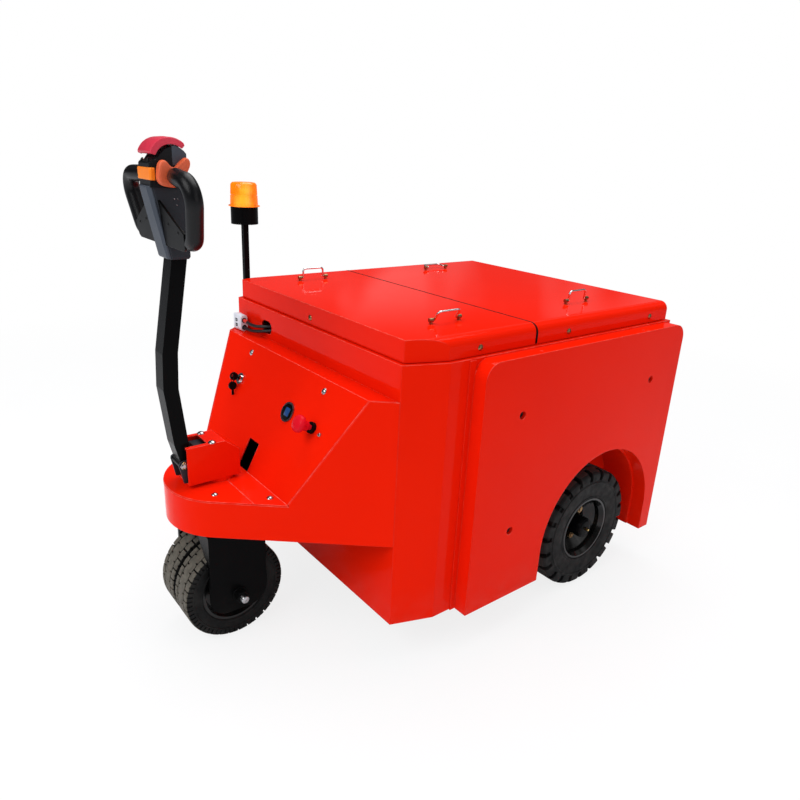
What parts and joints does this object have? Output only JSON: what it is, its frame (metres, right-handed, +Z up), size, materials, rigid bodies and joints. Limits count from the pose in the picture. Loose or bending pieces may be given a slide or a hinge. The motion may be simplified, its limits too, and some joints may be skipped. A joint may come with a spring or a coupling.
{
  "type": "electric tow tractor",
  "caption": "Boxy electric tow tractor with a tiller-steered twin front wheel, sloped control panel, lift-off lids, wheel-arch side panels, beacon and rear tow jaw.",
  "frame": {"origin": "on the ground, in the middle plane, midway between the front axle line and the rear axle line", "axes": "+Z up; -Y is the travel direction, toward the tiller; +X is the vehicle's left side"},
  "size_m": [0.9, 1.387, 1.146],
  "materials": {
    "red_paint": "gloss",
    "frame_paint": "satin",
    "black_paint": "gloss",
    "head_plastic": "matte",
    "spine_plastic": "satin",
    "tyre_rubber": "matte",
    "zinc": "satin",
    "dark_screw": "satin",
    "brass_zinc": "satin",
    "chrome": "polished",
    "bronze": "satin",
    "belly_red": "gloss",
    "stop_red": "gloss",
    "orange": "gloss",
    "wing_orange": "gloss",
    "amber_lens": "gloss",
    "lamp": "gloss",
    "silver_plastic": "satin",
    "gauge_bezel": "satin",
    "black_plastic": "matte",
    "battery_case": "matte",
    "switch_grey": "satin"
  },
  "bodies": {
    "chassis": {"chassis_frame": "frame_paint", "body_shell": "red_paint", "side_panel_l": "red_paint", "side_panel_r": "red_paint", "panel_screws": "dark_screw", "nose_shell": "red_paint", "deck_plate": "red_paint", "console_cover": "red_paint", "console_screws": "zinc", "battery_blocks": "battery_case", "controller": "black_plastic", "rear_axle": "frame_paint", "beacon_pole": "black_paint", "beacon_lens": "amber_lens", "beacon_lamp": "lamp", "battery_plug": "silver_plastic", "battery_cables": "black_plastic", "key_switch": "chrome", "gauge": "gauge_bezel", "stop_base": "black_plastic", "steer_bushes": "bronze", "tow_hitch": "frame_paint"},
    "steer": {"fork": "black_paint", "front_axle": "zinc", "bracket": "red_paint", "bracket_bolts": "zinc", "pivot_clevis": "switch_grey", "pivot_pin": "zinc"},
    "front_wheel_l": {"front_rim_l": "black_paint", "front_tyre_l": "tyre_rubber"},
    "front_wheel_r": {"front_rim_r": "black_paint", "front_tyre_r": "tyre_rubber"},
    "tiller": {"tiller_arm": "black_paint", "head_body": "head_plastic", "spine_cover": "spine_plastic", "grip_loops": "head_plastic"},
    "belly": {"belly_pad": "belly_red"},
    "horn": {"horn_button": "orange"},
    "throttle": {"wing_l": "wing_orange", "wing_r": "wing_orange"},
    "rear_wheel_l": {"hub_l": "black_paint", "rear_rim_l": "black_paint", "rear_tyre_l": "tyre_rubber", "wheel_nuts_l": "brass_zinc"},
    "rear_wheel_r": {"hub_r": "black_paint", "rear_rim_r": "black_paint", "rear_tyre_r": "tyre_rubber", "wheel_nuts_r": "brass_zinc"},
    "front_lid": {"lid_front": "red_paint", "lid_fittings_front": "zinc"},
    "rear_lid": {"lid_rear": "red_paint", "lid_fittings_rear": "zinc"},
    "handle_fl": {"bail_fl": "chrome"},
    "handle_fr": {"bail_fr": "chrome"},
    "handle_rl": {"bail_rl": "chrome"},
    "handle_rr": {"bail_rr": "chrome"},
    "stop": {"stop_button": "stop_red"},
    "key": {"ignition_key": "black_plastic"},
    "spare": {"spare_key": "black_plastic"},
    "hitch_pin": {"tow_pin": "zinc"}
  },
  "joints": [
    {"name": "steer_turn", "type": "hinge", "parent": "chassis", "child": "steer", "pos_m": [0, -0.4445, 0.3], "axis": [0, 0, 1], "range_deg": [-90, 90]},
    {"name": "front_wheel_l_spin", "type": "hinge", "parent": "steer", "child": "front_wheel_l", "pos_m": [0, -0.4445, 0.125], "axis": [1, 0, 0], "continuous": true},
    {"name": "front_wheel_r_spin", "type": "hinge", "parent": "steer", "child": "front_wheel_r", "pos_m": [0, -0.4445, 0.125], "axis": [1, 0, 0], "continuous": true},
    {"name": "tiller_tilt", "type": "hinge", "parent": "steer", "child": "tiller", "pos_m": [0, -0.534, 0.45996], "axis": [1, 0, 0], "range_deg": [0, 80], "stiffness_Nm_per_rad": 16, "springref_deg": -20.05},
    {"name": "belly_press", "type": "slide", "parent": "tiller", "child": "belly", "axis": [0, 0, -1], "range_m": [0, 0.0035], "stiffness_N_per_m": 2500},
    {"name": "horn_press", "type": "slide", "parent": "tiller", "child": "horn", "axis": [0, 1, 0], "range_m": [0, 0.0035], "stiffness_N_per_m": 1500},
    {"name": "throttle_turn", "type": "hinge", "parent": "tiller", "child": "throttle", "pos_m": [0, -0.53584, 1.07386], "axis": [1, 0, 0], "range_deg": [-25, 25], "stiffness_Nm_per_rad": 0.6},
    {"name": "rear_wheel_l_spin", "type": "hinge", "parent": "chassis", "child": "rear_wheel_l", "pos_m": [0, 0.4445, 0.173], "axis": [1, 0, 0], "continuous": true},
    {"name": "rear_wheel_r_spin", "type": "hinge", "parent": "chassis", "child": "rear_wheel_r", "pos_m": [0, 0.4445, 0.173], "axis": [1, 0, 0], "continuous": true},
    {"name": "front_lid_lift", "type": "slide", "parent": "chassis", "child": "front_lid", "axis": [0, 0, 1], "range_m": [0, 0.14]},
    {"name": "rear_lid_lift", "type": "slide", "parent": "chassis", "child": "rear_lid", "axis": [0, 0, 1], "range_m": [0, 0.25]},
    {"name": "handle_fl_fold", "type": "hinge", "parent": "front_lid", "child": "handle_fl", "pos_m": [0.28495, -0.01005, 0.79464], "axis": [0, 1, 0], "range_deg": [-124, 56]},
    {"name": "handle_fr_fold", "type": "hinge", "parent": "front_lid", "child": "handle_fr", "pos_m": [-0.28495, -0.01005, 0.79464], "axis": [0, 1, 0], "range_deg": [-90, 90]},
    {"name": "handle_rl_fold", "type": "hinge", "parent": "rear_lid", "child": "handle_rl", "pos_m": [0.28495, 0.45506, 0.79464], "axis": [0, 1, 0], "range_deg": [-94, 86]},
    {"name": "handle_rr_fold", "type": "hinge", "parent": "rear_lid", "child": "handle_rr", "pos_m": [-0.28495, 0.45506, 0.79464], "axis": [0, 1, 0], "range_deg": [-6, 174]},
    {"name": "stop_press", "type": "slide", "parent": "chassis", "child": "stop", "axis": [0, 0.887, -0.4617], "range_m": [0, 0.006], "stiffness_N_per_m": 900},
    {"name": "key_turn", "type": "hinge", "parent": "chassis", "child": "key", "pos_m": [-0.174, -0.29454, 0.56659], "axis": [0, -0.887, 0.4617], "range_deg": [0, 90]},
    {"name": "spare_key_swing", "type": "hinge", "parent": "key", "child": "spare", "pos_m": [-0.174, -0.31898, 0.57931], "axis": [1, 0, 0], "range_deg": [-60, 0]},
    {"name": "tow_pin_lift", "type": "slide", "parent": "chassis", "child": "hitch_pin", "axis": [0, 0, 1], "range_m": [0, 0.15]}
  ]
}
